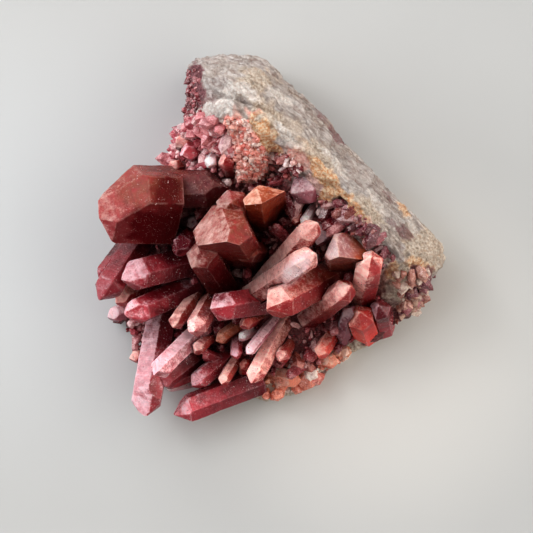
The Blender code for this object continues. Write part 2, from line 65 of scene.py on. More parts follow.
def set_inputs(tree, made, values):
    """Sets a node's inputs by name or number. Each value is a plain one, or a socket to link from."""
    for name, value in values.items():
        if isinstance(value, bpy.types.NodeSocket):
            tree.links.new(value, made.inputs[name])
        else:
            made.inputs[name].default_value = value


def node(tree, kind, inputs=None, **settings):
    """Adds one shader node."""
    made = tree.nodes.new("ShaderNode" + kind)
    for name, value in settings.items():
        setattr(made, name, value)
    set_inputs(tree, made, inputs or {})
    return made


def math_node(tree, operation, *values, clamp=False):
    """One arithmetic step on sockets or numbers."""
    made = node(tree, "Math", dict(enumerate(values)), operation=operation, use_clamp=clamp)
    return made.outputs[0]


def product(tree, first, second):
    """One value times another."""
    return math_node(tree, "MULTIPLY", first, second)


def inverse(tree, value):
    """What a value leaves of 1."""
    return math_node(tree, "SUBTRACT", 1.0, value)


def linear(tree, value, factor, start, clamp=False):
    """A value times a factor, on top of a start."""
    return math_node(tree, "MULTIPLY_ADD", value, factor, start, clamp=clamp)


def vector_node(tree, operation, first, second, output=0):
    """One step on two vectors or colours."""
    return node(tree, "VectorMath", {0: first, 1: second}, operation=operation).outputs[output]


def scaled(tree, vector, factor):
    """A vector or a colour times a number."""
    return node(tree, "VectorMath", {0: vector, "Scale": factor}, operation="SCALE").outputs[0]


def blend(tree, share, first, second):
    """Mixes two colours by a share from 0 to 1."""
    colours = [one if isinstance(one, bpy.types.NodeSocket) else (*one, 1) for one in (first, second)]
    return node(tree, "Mix", {0: share, 6: colours[0], 7: colours[1]}, data_type="RGBA").outputs[2]


def ramp(tree, value, low, high):
    """0 below low and 1 above high, with a soft step between."""
    inputs = {"Value": value, "From Min": low, "From Max": high}
    return node(tree, "MapRange", inputs, interpolation_type="SMOOTHSTEP").outputs["Result"]


def grain(tree, place, size_mm, detail, rough, distortion=0.0):
    """Noise from 0 to 1 whose largest features are about size_mm across."""
    inputs = {"Vector": place, "Scale": 1 / size_mm, "Detail": detail, "Roughness": rough}
    return node(tree, "TexNoise", {**inputs, "Distortion": distortion}).outputs["Fac"]


def cells(tree, place, density, output, feature="F1"):
    """Small random cells, that many to a millimetre."""
    return node(tree, "TexVoronoi", {"Vector": place, "Scale": density}, feature=feature).outputs[output]


def attribute(tree, name, output="Fac"):
    """A value that the mesh carries."""
    return node(tree, "Attribute", attribute_name=name).outputs[output]


def place_mm(tree):
    """The shaded point, in millimetres."""
    return scaled(tree, node(tree, "TexCoord").outputs["Object"], 1 / MM)


def facing(tree, direction):
    """How much the surface faces a direction fixed to the object, from 0 to 1."""
    normal = node(tree, "TexCoord").outputs["Normal"]
    dot = vector_node(tree, "DOT_PRODUCT", normal, Vector(direction).normalized(), "Value")
    return linear(tree, dot, 0.5, 0.5)


def bumped(tree, layers):
    """Bump nodes in a chain. Each layer is a height from 0 to 1 and how many millimetres that stands for."""
    normal = None
    for height, depth_mm in layers:
        inputs = {"Height": height, "Distance": depth_mm * MM, "Strength": 1.0}
        if normal is not None:
            inputs["Normal"] = normal
        normal = node(tree, "Bump", inputs).outputs["Normal"]
    return normal


def glitter(tree, place, normal, size_mm, strength):
    """Turns the normal by a random amount in each of many small cells, as a mosaic of facets does."""
    tilt = vector_node(tree, "SUBTRACT", cells(tree, place, 1 / size_mm, "Color"), (0.5, 0.5, 0.5))
    turned = vector_node(tree, "ADD", normal, scaled(tree, tilt, strength))
    return node(tree, "VectorMath", {0: turned}, operation="NORMALIZE").outputs[0]


def new_material(name):
    """A node material: (material, tree, shader)."""
    material = bpy.data.materials.new(name)
    material.use_nodes = True
    tree = material.node_tree
    return material, tree, tree.nodes["Principled BSDF"]


# ---- Quartz ----

# body and deep are the crystal's own colours near its tip and in its depth. frost is the pale skin
# on its faces, which is thickest on the side that faces the window and so is partly painted light,
# frosting how much of a face that skin covers, and rust and rusting the same for the iron stain, which
# on the side turned from the window partly stands in for warm shade as painted shade. clarity is the
# share of light that passes through, and sugar how strong the white specks are.
Quartz = namedtuple("Quartz", "body deep frost frosting rust rusting roughness clarity sugar")
QUARTZ = {
    "rose": Quartz((0.43, 0.050, 0.052), (0.11, 0.001, 0.004), (0.90, 0.57, 0.51), 0.30,
                   (0.30, 0.070, 0.035), 0.7, 0.24, 0.04, 0.8),
    "wine": Quartz((0.47, 0.048, 0.067), (0.10, 0.003, 0.010), (0.86, 0.57, 0.62), 0.30,
                   (0.20, 0.026, 0.024), 0.3, 0.20, 0.10, 0.8),
    "rust": Quartz((0.46, 0.085, 0.038), (0.12, 0.010, 0.005), (0.92, 0.60, 0.48), 0.34,
                   (0.46, 0.105, 0.038), 0.9, 0.24, 0.04, 0.6),
    "lilac": Quartz((0.52, 0.22, 0.26), (0.22, 0.05, 0.08), (0.86, 0.66, 0.69), 0.42,
                    (0.34, 0.15, 0.13), 0.3, 0.20, 0.15, 0.6),
    "orange": Quartz((0.84, 0.32, 0.22), (0.60, 0.12, 0.07), (0.93, 0.66, 0.56), 0.38,
                     (0.60, 0.18, 0.08), 0.3, 0.22, 0.25, 0.5),
    "scarlet": Quartz((0.66, 0.070, 0.050), (0.32, 0.012, 0.014), (0.90, 0.50, 0.42), 0.44,
                      (0.44, 0.06, 0.03), 0.3, 0.20, 0.12, 0.9),
    "clear": Quartz((0.90, 0.72, 0.74), (0.66, 0.34, 0.38), (0.97, 0.92, 0.92), 0.48,
                    (0.6, 0.4, 0.35), 0.2, 0.16, 0.20, 0.3),
}
# How one piece differs from its kind: how much thicker its pale skin is, how bright it is, and how much
# its clean faces reflect. The mesh carries all three.
Coat = namedtuple("Coat", "coat tone gloss", defaults=(0.0, 1.0, 0.8))
PLAIN = Coat()
COATS = {
    "great_left_crystal": Coat(-0.66, 0.66, 0.20),
    "pale_head_crystals": Coat(-0.02, 0.60, 0.35),
    "ridge_foot_crystal": Coat(0.05, 0.70, 0.35),
    "mauve_upright": Coat(0.0, 0.75, 0.5),
    "left_pair": Coat(-0.66, 0.62, 0.6),
    "orange_head_crystal": Coat(0.15, 0.85, 0.7),
    "near_pale_rod": Coat(0.85, 1.12),
    "far_pale_rod": Coat(0.62, 0.92),
    "long_front_prism": Coat(0.50),
    "slanting_prism": Coat(0.75, 1.30),
    "slanting_prism_shadow_twin": Coat(-0.2, 0.7),
    "front_log": Coat(-0.30, 1.3),
    "pale_table_crystal": Coat(0.10, 0.86),
    "upright_right_crystal": Coat(0.55, 1.35),
    "mid_left_crystal": Coat(-0.05),
    "hidden_red_crystal": Coat(-0.1, 1.2),
    "glassy_stub": Coat(0.25, 1.2),
    "stepped_crystal": Coat(0.25, 1.2),
    "pink_split_rod": Coat(0.60, 1.4),
    "round_tip_crystal": Coat(0.15, 1.05),
    "pale_wedge": Coat(0.4, 1.2),
    "kite_end_crystal": Coat(0.15, 1.15),
    "narrow_pale_crystal": Coat(0.3),
    "bright_lilac_rod": Coat(0.6, 1.35),
    "front_pink_rod": Coat(0.35, 1.2),
    "orange_edge_slab": Coat(-0.05, 1.2),
    "orange_edge_pair": Coat(-0.05, 1.15),
    "scarlet_chunk": Coat(0.22, 1.5),
    "maroon_chunk": Coat(0.1, 1.2),
    "elbow_crystals": Coat(0.2),
}
# Soft blots of colour on the crystals, as seen from above. Each is its x, y, its two radii, the turn of
# the first radius from +X in degrees, and its strength. A blot is at full strength out to the first of
# these shares of its radii, and fades out over the second.
BLOT_CORE, BLOT_FADE = 0.75, 0.7
CRYSTAL_STAINS = {
    "glassy": [  # clean, deep red places, partly painted shade under and between crystals
        (-28.6, 2.6, 7, 5, 0, 1), (-24.6, 1, 5, 6, 0, 1), (-26.5, -22, 6, 4, 20, 0.6),
        (-12.4, -10, 4.2, 4.8, -40, 0.9), (-29, -12.5, 5, 3, 20, 0.6), (0, 6, 3, 5, 20, 0.5),
        (-25.4, 11.6, 3.4, 4.2, 0, 0.85), (-17, 12.6, 5.5, 4.5, 0, 0.12), (-17.6, -2.6, 2, 2.6, 0, 0.4),
        (-31, -39, 3, 4, 0, 0.4),
    ],
    "rusty": [  # iron stain
        (-26, 12.6, 4.6, 3.8, 0, 1), (-33, 12, 4.6, 4.2, 0, 0.8), (-11.6, 6, 4.4, 5, -30, 0.9),
        (-3.6, 11, 4, 4.6, 0, 0.8), (-6.6, -3.6, 3.6, 2.6, 0, 0.9), (17, -8, 4, 2.6, 30, 0.8),
        (-36, 15.5, 5, 2.2, 40, 0.6), (-14, 2, 5, 6, 0, 0.62), (13, -17, 3, 2, 0, 0.6),
        (22, -5, 3, 3, 0, 0.4), (-31, 13.6, 3.6, 3, 0, 0.9), (-8.4, 4.6, 2.6, 3.6, -30, 0.9),
        (-30, -37.6, 3, 3.4, 0, 0.6), (-9, 5.4, 2.6, 4, 0, 0.6),
    ],
    "blush": [  # more of the pale skin, where the faces are lit: partly painted light
        (5, -5.6, 5, 3, 45, 0.9), (8, 0, 3.6, 2.4, 45, 0.7), (22.5, -10, 2.4, 3, 0, 0.8),
        (17.6, -18, 3, 2.4, 0, 0.6), (-41, 6, 2, 6, 0, 0.25), (-17, 4, 4, 4, 0, 0.5),
        (-18.6, -7, 2.4, 7, -20, 0.6), (-20.5, 12, 5, 3, 0, 0.2), (2, -10, 4, 2.4, 45, 0.6),
        (3.6, -3.6, 4, 2, 50, 0.6), (-1, -27, 2, 6, -30, 0.4),
    ],
    "mauve": [  # milky mauve quartz
        (16.6, -2.6, 4.4, 4.6, 0, 0.7), (-16, 13, 6, 5, 0, 0.30), (-38.5, 1.6, 4.6, 3.6, 0, 0.12),
        (-20, -25, 3, 9, -35, 0.3), (6.4, -7.6, 4.6, 2, 50, 0.7),
    ],
}
MAUVE = ((0.34, 0.14, 0.17), (0.66, 0.47, 0.50))  # its darkest and palest
MAUVE_SKIN = (0.82, 0.70, 0.73)
PALE_LIT_SIDE = (-0.68, 0.32, 0.66)  # the side that faces the key light, where the pale skin is thickest: partly a real coating, partly painted light
RUSTY_SHADED_SIDE = (0.35, 0.85, 0.40)  # the side that iron stained, whose brown also stands in for the warm shade on faces turned from the window: partly painted shade
CLEAN_SHADED_SIDE = (0.48, -0.87, 0.05)  # and the side, turned from the lamps, that is left clean and deep red: partly clean quartz, partly painted shade
IOR = 1.544
GLOW_MM = 1.5  # how far light spreads under the surface


def quartz_patterns(tree):
    """The noises, and the values on the mesh, that the look of quartz is built from."""
    names = ("along", "edge", "facet", "tip", "rise", *Coat._fields, *CRYSTAL_STAINS)
    at = SimpleNamespace(place=place_mm(tree), **{name: attribute(tree, name) for name in names})
    at.cloud = grain(tree, at.place, 5.0, 4, 0.6, 0.4)
    at.patch = grain(tree, at.place, 1.6, 5, 0.62)
    at.fine = grain(tree, at.place, 0.45, 3, 0.6)
    growth = {"W": at.rise, "Scale": 2.2, "Detail": 3.0, "Roughness": 0.7}
    at.lines = node(tree, "TexNoise", growth, noise_dimensions="1D").outputs["Fac"]
    at.foot = inverse(tree, ramp(tree, at.along, 0.25, 0.80))
    # the side turned from the lamps, and the glassy blots, turn deep red: partly clean quartz, partly painted
    # shade
    clean = product(tree, ramp(tree, facing(tree, CLEAN_SHADED_SIDE), 0.62, 0.86), 0.62)
    at.clean = math_node(tree, "MAXIMUM", clean, at.glassy)
    return at


def inner_colour(tree, look, at):
    """The crystal's own colour, from its deep foot to its tip, with its mauve places, its rusty ones, partly
    painted warm shade, and its clean deep red ones, partly painted shade.
    """
    depth = linear(tree, at.along, 0.35, at.cloud)
    colour = blend(tree, ramp(tree, depth, 0.42, 0.82), look.deep, look.body)
    colour = blend(tree, at.mauve, colour, blend(tree, ramp(tree, at.patch, 0.3, 0.7), *MAUVE))
    # iron stain on the side turned from the window: partly a real stain, partly painted warm shade
    stain = product(tree, ramp(tree, facing(tree, RUSTY_SHADED_SIDE), 0.55, 0.85), 0.75 * look.rusting)
    stain = product(tree, stain, inverse(tree, at.mauve))
    stain = math_node(tree, "MAXIMUM", stain, at.rusty)
    stain = product(tree, stain, ramp(tree, at.patch, 0.22, 0.62))
    colour = blend(tree, stain, colour, look.rust)
    return blend(tree, at.clean, colour, look.deep)


def pale_skin_and_light(tree, look, at):
    """How much pale skin there is: broad patches broken up by finer ones, most of it on the side that faces
    the key light, which is partly painted light.
    """
    skin_and_light = linear(tree, ramp(tree, facing(tree, PALE_LIT_SIDE), 0.62, 0.94), 0.9, look.frosting - 1.22)
    shares = (
        (at.patch, 1.35), (at.facet, 0.16), (at.fine, 0.65), (at.blush, 0.5), (at.coat, 1.0),
        (at.clean, -0.8), (at.rusty, -0.35), (at.foot, -0.30),
    )
    for pattern, share in shares:
        skin_and_light = linear(tree, pattern, share, skin_and_light)
    return ramp(tree, skin_and_light, 0.10, 1.15)


def skin_colour(tree, look, at):
    """The pale skin's colour, tinted in patches by the crystal under it."""
    tinted = [0.60 * pale + 0.40 * own for pale, own in zip(look.frost, look.body)]
    frost = blend(tree, ramp(tree, at.patch, 0.36, 0.62), tinted, look.frost)
    return blend(tree, at.mauve, frost, MAUVE_SKIN)


def sugar_specks(tree, look, at):
    """Fine white specks, in patches."""
    speck = inverse(tree, ramp(tree, cells(tree, at.place, 2.6, "Distance"), 0.10, 0.30))
    speck = product(tree, speck, ramp(tree, at.patch, 0.44, 0.62))
    return product(tree, speck, look.sugar)


def quartz_colour(tree, look, at, skin_and_light, speck):
    """The inside, under its skin, which is partly painted light on the lit side, rubbed edges and specks, and
    darker towards the foot.
    """
    cover = linear(tree, ramp(tree, at.cloud, 0.34, 0.66), 0.40, 0.55)
    inside = inner_colour(tree, look, at)
    colour = blend(tree, product(tree, skin_and_light, cover), inside, skin_colour(tree, look, at))
    mottled = linear(tree, at.lines, 0.35, product(tree, at.fine, 0.55))
    colour = scaled(tree, colour, linear(tree, mottled, 1.1, 0.52))
    worn = product(tree, at.edge, ramp(tree, at.patch, 0.32, 0.60))
    colour = blend(tree, product(tree, worn, linear(tree, skin_and_light, 0.45, 0.22)), colour, look.frost)
    colour = blend(tree, product(tree, speck, 0.7), colour, look.frost)
    return scaled(tree, colour, product(tree, linear(tree, at.foot, -0.40, 1.18), at.tone))


def quartz_normal(tree, at, speck):
    """Growth lines across the prism faces, small pits, and facets too fine for the mesh."""
    lines = product(tree, at.lines, inverse(tree, at.tip))
    normal = bumped(tree, [(at.patch, 0.22), (lines, 0.12), (at.fine, 0.10), (speck, 0.05)])
    normal = glitter(tree, at.place, normal, 1.1, 0.10)
    return glitter(tree, at.place, normal, 0.33, 0.16)


def quartz_material(slot):
    """Iron-stained quartz: a cloudy coloured inside, a pale skin and fine specks, with painted light on the
    lit side and painted shade on the others.
    """
    look = QUARTZ[slot]
    material, tree, shader = new_material("quartz_" + slot)
    at = quartz_patterns(tree)
    skin_and_light = pale_skin_and_light(tree, look, at)
    speck = sugar_specks(tree, look, at)
    roughness = linear(tree, skin_and_light, 0.24, look.roughness - 0.10)
    # the clean, shaded places and the chalky skin reflect little
    shine = linear(tree, math_node(tree, "MAXIMUM", at.clean, skin_and_light), -0.75, 1.0)
    shine = product(tree, shine, at.gloss)
    set_inputs(tree, shader, {
        "Base Color": quartz_colour(tree, look, at, skin_and_light, speck),
        "Normal": quartz_normal(tree, at, speck),
        "Roughness": linear(tree, at.fine, 0.16, roughness, clamp=True),
        "IOR": IOR, "Specular IOR Level": product(tree, shine, 0.5),
        "Transmission Weight": look.clarity,
        "Subsurface Weight": 0.25, "Subsurface Radius": (1.0, 0.20, 0.16), "Subsurface Scale": GLOW_MM * MM,
        "Coat Weight": product(tree, shine, 0.18), "Coat Roughness": 0.12, "Coat IOR": 1.5,
    })
    return material


QUARTZ_MATERIALS = {slot: quartz_material(slot) for slot in QUARTZ}

# ---- Crystals: fine copies of the CAD solids, with worn edges and slightly uneven faces ----

WELD_MM = 0.002
FLAT_ANGLE = math.radians(0.8)  # triangles that meet at less belong to one facet
SHARP_ANGLE = math.radians(14)  # facets that meet at more have an edge to rub down
SHADED_ANGLE = math.radians(24)  # and at more than this they still look sharp
MESH_STEP_MM = 0.8  # the longest edge of the fine mesh
REFINE_ROUNDS = 6
PRISM_LEAN = 0.3  # a prism face's normal leans no more than this along the crystal
FACET_CELL_MM = 0.7  # facets with their middles in one cell of this size share a tone
RELIEF_MM = ((3.4, 0.16), (1.1, 0.06))  # the size and height of the unevenness of a face
WEAR = (0.30, 0.28)  # how far a worn edge is pulled in, and how much that varies
HEART = Vector((0, 0, 5)) * MM  # the crystals point away from here


def facets_of(source):
    """A CAD node's mesh with each flat facet as one face."""
    bm = bmesh.new()
    bm.from_mesh(source.data)
    bmesh.ops.remove_doubles(bm, verts=bm.verts, dist=WELD_MM * MM)
    bmesh.ops.dissolve_limit(bm, angle_limit=FLAT_ANGLE, verts=bm.verts, edges=bm.edges)
    return bm


def long_axis(bm):
    """The c axis: the direction that the prism faces, which are most of the surface, run along."""
    total = np.zeros((3, 3))
    middle = Vector()
    for face in bm.faces:
        area = face.calc_area()
        total += area * np.outer(face.normal, face.normal)
        middle += area * face.calc_center_median()
    middle /= sum(face.calc_area() for face in bm.faces)
    axis = Vector(np.linalg.eigh(total)[1][:, 0])
    return axis if axis.dot(middle - HEART) > 0 else -axis


def refine(bm, longest):
    """Splits long edges until nearly none is longer than that."""
    bmesh.ops.triangulate(bm, faces=bm.faces[:])
    for _ in range(REFINE_ROUNDS):
        long_edges = [edge for edge in bm.edges if edge.calc_length() > longest]
        if not long_edges:
            return
        bmesh.ops.subdivide_edges(bm, edges=long_edges, cuts=1)
        bmesh.ops.triangulate(bm, faces=[face for face in bm.faces if len(face.verts) > 3])


def wear_and_roughen(bm, edge_layer):
    """Rubs the sharp edges down by uneven amounts and gives the faces a slight relief."""
    worn = set()
    for edge in bm.edges:
        if len(edge.link_faces) == 2 and edge.calc_face_angle() > SHARP_ANGLE:
            worn.update(edge.verts)
    moves = {}
    for vert in bm.verts:
        place = vert.co / MM
        relief = sum(noise.noise(place / size) * height for size, height in RELIEF_MM)
        move = vert.normal * (relief * MM)
        if vert in worn:
            vert[edge_layer] = 1.0
            around = Vector()
            for edge in vert.link_edges:
                around += edge.other_vert(vert).co
            pull = WEAR[0] + WEAR[1] * noise.noise(place / 1.9 + Vector((9, 0, 0)))
            move += (around / len(vert.link_edges) - vert.co) * pull
        moves[vert] = move
    for vert, move in moves.items():
        vert.co += move


def write_attribute(mesh, name, values):
    """Gives each point of a mesh its value."""
    layer = mesh.attributes.new(name, "FLOAT", "POINT")
    layer.data.foreach_set("value", values.astype(np.float32))


def crystal_mesh(name):
    """The fine mesh of one crystal node, with what its material needs to know of each place's shape."""
    bm = facets_of(frame["nodes"][name])
    axis = long_axis(bm)
    edge_layer, along_layer, rise_layer = map(bm.verts.layers.float.new, ("edge", "along", "rise"))
    facet_layer, tip_layer = map(bm.faces.layers.float.new, ("facet", "tip"))
    for face in bm.faces:
        face[facet_layer] = noise.cell(face.calc_center_median() / (FACET_CELL_MM * MM))
        face[tip_layer] = float(abs(face.normal.dot(axis)) > PRISM_LEAN)
    refine(bm, MESH_STEP_MM * MM)
    bm.normal_update()
    rises = [vert.co.dot(axis) for vert in bm.verts]
    low, high = min(rises), max(rises)
    for vert, rise in zip(bm.verts, rises):
        vert[rise_layer] = rise / MM
        vert[along_layer] = (rise - low) / (high - low)
    wear_and_roughen(bm, edge_layer)
    mesh = bpy.data.meshes.new(name + "_facets")
    bm.to_mesh(mesh)
    bm.free()
    return mesh


def crystal_detail(name):
    """The shown piece for one crystal node."""
    mesh = crystal_mesh(name)
    points = read_vectors(mesh.vertices) / MM
    ragged = noise_field(points, 2.4, 31) * 0.35
    values = stain_masks(points, CRYSTAL_STAINS, ragged)
    for key, value in COATS.get(name, PLAIN)._asdict().items():
        values[key] = np.full(len(points), value)
    for key, of_points in values.items():
        write_attribute(mesh, key, of_points)
    smooth_shaded(mesh)
    mesh.set_sharp_from_angle(angle=SHADED_ANGLE)
    return link_piece(name + "_facets", mesh, QUARTZ_MATERIALS[SLOT_OF[name]], [name])


def smooth_shaded(mesh):
    """Shades a mesh smooth."""
    mesh.polygons.foreach_set("use_smooth", [True] * len(mesh.polygons))


def link_piece(name, mesh, material, nodes=()):
    """Puts a mesh in the scene as a piece that rides on the object's one body."""
    made = bpy.data.objects.new(name, mesh)
    bpy.context.scene.collection.objects.link(made)
    mesh.materials.clear()
    mesh.materials.append(material)
    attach(made, "root")
    if nodes:
        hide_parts(*nodes)
    return made


# ---- The rock ----

ROCK_VOXEL_MM = 0.45
ROCK_SMOOTHING = 6  # rounds
WALL_RUN = Vector((0.796, -0.605, 0.0))  # the wall's direction, which its streaks follow
WALL_ACROSS = (0.605, 0.796, 0.0)
STEEPEST_BED = -0.2  # the bed's druse ends where the surface's normal points further down than this
UNDERSIDE_MM = 0.9  # the rock keeps its CAD shape below this height
REST_MM = 0.35  # and is flat on the floor below this one
# Soft blots of colour on the rock, written as CRYSTAL_STAINS is.
STAINS = {
    "pink": [  # salmon-pink sugar on the inner slope, made paler than its own colour to stand in for light it doesn't get: partly painted light
        (-6.2, 22.5, 5.2, 8.4, 20, 1.5), (-2.6, 18.5, 3.2, 3.4, 0, 0.9), (-9, 31, 2.6, 5, 30, 0.45),
        (6.4, 19.8, 4.2, 2.4, -35, 0.6), (11.8, 14.4, 3.8, 2.6, -30, 0.45), (-13, 26, 4, 7, 0, 0.6),
        (22, 5, 4, 2.4, -45, 0.45), (27, -9, 4, 4, 0, 0.4),
    ],
    "ochre": [  # ochre and orange iron stains along the crest
        (-3, 26, 4.2, 3.2, -55, 1), (1, 22.6, 2.8, 1.6, -40, 0.8), (13, 16.6, 4.6, 1.5, -47, 0.9),
        (18.2, 10.2, 3.2, 1.5, -50, 1), (21.8, 6.8, 2.8, 1.2, -45, 0.8), (14.4, 11.2, 1.6, 2.2, 0, 0.9),
        (7.6, 23.2, 3, 2, -40, 0.35), (33.5, 7.4, 2.4, 1, -55, 0.6), (36.6, -6, 3.6, 1.6, -20, 0.6),
        (30.6, -7.4, 1.6, 2.2, 0, 0.6), (24, 2, 3, 1.2, -50, 0.7),
    ],
    "cream": [  # cream and tan skin on the crest
        (-4.4, 38.2, 4, 3.4, 30, 0.9), (-1, 30, 5, 4, -40, 0.7), (5.6, 27.4, 4, 2.4, -45, 0.5),
        (12, 21, 5, 2.4, -45, 0.6), (24, 6.4, 5, 3, -45, 0.7), (39, -2.6, 5.4, 5.4, 0, 0.9),
        (33, -11, 4, 5, 0, 0.7), (3, -37, 8, 3.6, 15, 1), (18, -28.6, 5, 3.2, 35, 1),
        (-12, 42, 6, 3, 0, 0.3),
    ],
    "white": [  # white quartz at the head of the slope and in seams on the wall
        (-15.2, 31, 3.4, 2.2, 20, 0.9), (-10.6, 33.6, 2.2, 4.6, -10, 0.9),
        (-6, 36.4, 3.4, 1.4, -30, 0.7), (4, 26, 4, 1, -45, 0.6), (15.6, 19.6, 5, 1, -48, 0.6),
        (26.6, 9, 4, 0.9, -50, 0.6), (2, 35.6, 4, 1.2, -35, 0.6), (36, 3.4, 2.6, 1, -50, 0.6),
    ],
    "dark": [  # dark hollows, painted near black as the shade in them
        (0.8, 18.2, 2.5, 2, 0, 1), (17.6, 8.6, 1.2, 2, 35, 1), (18.8, 6.2, 1.2, 1.6, 0, 0.8),
        (26, 0, 1.6, 1, -40, 0.5),
    ],
    "wine": [  # wine-red quartz showing through at the blunt end and the rim
        (-18.6, 41, 1.8, 2.4, 0, 0.8), (-17.4, 36.4, 1.6, 3.4, 10, 0.7), (12.6, 31, 2.6, 1.2, -48, 0.45),
        (16.4, 25.6, 2.8, 1.2, -55, 0.5), (29, 10.8, 2.2, 1, -48, 0.4), (33.6, 1.6, 2.4, 1.4, -40, 0.5),
        (30.4, 4.4, 1.8, 1, -40, 0.45), (37.4, -9.8, 3, 3.2, 0, 0.9),
    ],
}
# Each stain's darker and paler colour. A later stain lies over an earlier one.
STAIN_COLOURS = {
    "cream": ((0.54, 0.39, 0.29), (0.80, 0.70, 0.60)),
    # the slope's pink, made paler to stand in for light: partly painted light
    "pink": ((0.95, 0.40, 0.34), (1.0, 0.66, 0.58)),
    "ochre": ((0.74, 0.32, 0.13), (0.95, 0.74, 0.52)),
    "white": ((0.74, 0.62, 0.56), (0.94, 0.88, 0.83)),
    "wine": ((0.12, 0.02, 0.03), (0.30, 0.12, 0.13)),
    # the hollows' near black is painted shade
    "dark": ((0.035, 0.008, 0.007), (0.12, 0.030, 0.024)),
}
BED_COLOURS = ((0.10, 0.012, 0.018), (0.30, 0.08, 0.08))
# Cracks are lines of x, y on the wall's top. Each is cut this wide and deep, above this height only.
CRACKS = [
    [(-12.4, 35.2), (-9.6, 34.6), (-7.2, 34.2), (-4.2, 32.8), (-2.2, 32.6), (-0.4, 31.2)],
    [(-15.2, 37.2), (-12.8, 36), (-9.6, 34.6)],
    [(-2.2, 32.6), (2.6, 30.4), (7, 26.2)],
]
CRACK_WIDTH_MM, CRACK_DEPTH_MM, CRACKS_ABOVE_MM = 0.55, 0.9, 20
# A spur of salmon sugar beside the cave: its middle, its half widths and how far it stands out.
SPUR_PLACE, SPUR_REACH, SPUR_MM = (-3.8, 21.0), (3.4, 6.0), 2.8
BED_OUTLINE = [  # the inner side and the bed, which carry crystals
    (-20, 42), (-16, 38), (-11, 33), (-7, 28), (1, 24), (8.5, 18), (14.5, 13),
    (22.5, 5.5), (28.5, -2.5), (33, -7), (40.5, -8), (38.5, -14), (34.5, -21.5), (24, -28),
    (12, -36), (0, -41), (-16, -37), (-32, -34), (-39, -18), (-30, 4),
    (-24, 16), (-22.5, 30),
]
BED_FROM_MM, BED_FADE_MM = 2.5, 4.5  # where the bed's colour starts, away from the crest, and grows full
CREST = [
    (-14, 40), (-7, 32), (1, 25), (9, 18), (15, 13), (22, 6), (28, -2),
    (33, -8), (38, -14),
]


def inside_outline(points, outline):
    """Which points, an array of x and y, lie inside a closed outline."""
    x, y = points[:, 0], points[:, 1]
    inside = np.zeros(len(points), bool)
    for (ax, ay), (bx, by) in zip(outline, outline[1:] + outline[:1]):
        if ay == by:
            continue
        crosses = (ay > y) != (by > y)
        inside ^= crosses & (x < ax + (y - ay) * (bx - ax) / (by - ay))
    return inside


def line_distance(points, line):
    """How far each point, an array of x and y, lies from a line of points."""
    nearest = np.full(len(points), np.inf)
    for start, end in zip(line, line[1:]):
        start, run = np.array(start), np.subtract(end, start)
        share = np.clip((points - start) @ run / (run @ run), 0, 1)
        nearest = np.minimum(nearest, np.linalg.norm(points - start - share[:, None] * run, axis=1))
    return nearest


def noise_field(points, size, seed):
    """Noise from about -1 to 1 at each point of an array, with features of that size."""
    shift = Vector((seed, seed * 0.7, -seed))
    return np.array([noise.noise(Vector(point) / size + shift) for point in points])


def ridges(points, size, seed):
    """Noise from 0 to about 1 with sharp valleys between round ridges."""
    return np.abs(noise_field(points, size, seed))


def read_vectors(items, key="co"):
    """The vectors under that key of a mesh's points or normals, as an array."""
    values = np.empty(len(items) * 3, np.float32)
    items.foreach_get(key, values)
    return values.reshape(-1, 3).astype(float)


def stain_masks(points, stains, ragged):
    """How much of each stain every point has, from 0 up. ragged shifts the blots' outlines."""
    masks = {name: np.zeros(len(points)) for name in stains}
    for name, blots in stains.items():
        for x, y, along, across, turn, strength in blots:
            angle = math.radians(turn)
            dx, dy = points[:, 0] - x, points[:, 1] - y
            first = (dx * math.cos(angle) + dy * math.sin(angle)) / along
            second = (-dx * math.sin(angle) + dy * math.cos(angle)) / across
            reach = 1 - (np.hypot(first, second) + ragged - BLOT_CORE) / BLOT_FADE
            masks[name] = np.maximum(masks[name], strength * np.clip(reach, 0, 1))
    return masks


def fine_rock_mesh():
    """The CAD rock's mesh, rounded and cut into small even faces."""
    source = frame["nodes"]["matrix_rock"]
    draft = bpy.data.objects.new("rock_draft", source.data.copy())
    bpy.context.scene.collection.objects.link(draft)
    weld = draft.modifiers.new("weld", "WELD")
    weld.merge_threshold = WELD_MM * MM
    remesh = draft.modifiers.new("remesh", "REMESH")
    remesh.mode = "VOXEL"
    remesh.voxel_size = ROCK_VOXEL_MM * MM
    smooth = draft.modifiers.new("smooth", "SMOOTH")
    smooth.factor = 0.5
    smooth.iterations = ROCK_SMOOTHING
    bpy.context.view_layer.update()
    graph = bpy.context.evaluated_depsgraph_get()
    mesh = bpy.data.meshes.new_from_object(draft.evaluated_get(graph))
    bpy.data.objects.remove(draft)
    return mesh


def wall_relief(points):
    """Plates and streaks that run along the wall."""
    turned = np.stack([points @ np.array(WALL_RUN), points @ np.array(WALL_ACROSS), points[:, 2]], axis=1)
    streaked = turned * np.array((0.28, 1.0, 1.0))
    plates = ridges(turned * np.array((0.5, 1.0, 1.0)), 3.4, 9)
    relief = 0.42 + np.round(plates * 3.0) * 0.22
    return relief - ridges(streaked, 2.6, 1) * 1.5 - ridges(streaked, 1.1, 2) * 0.75


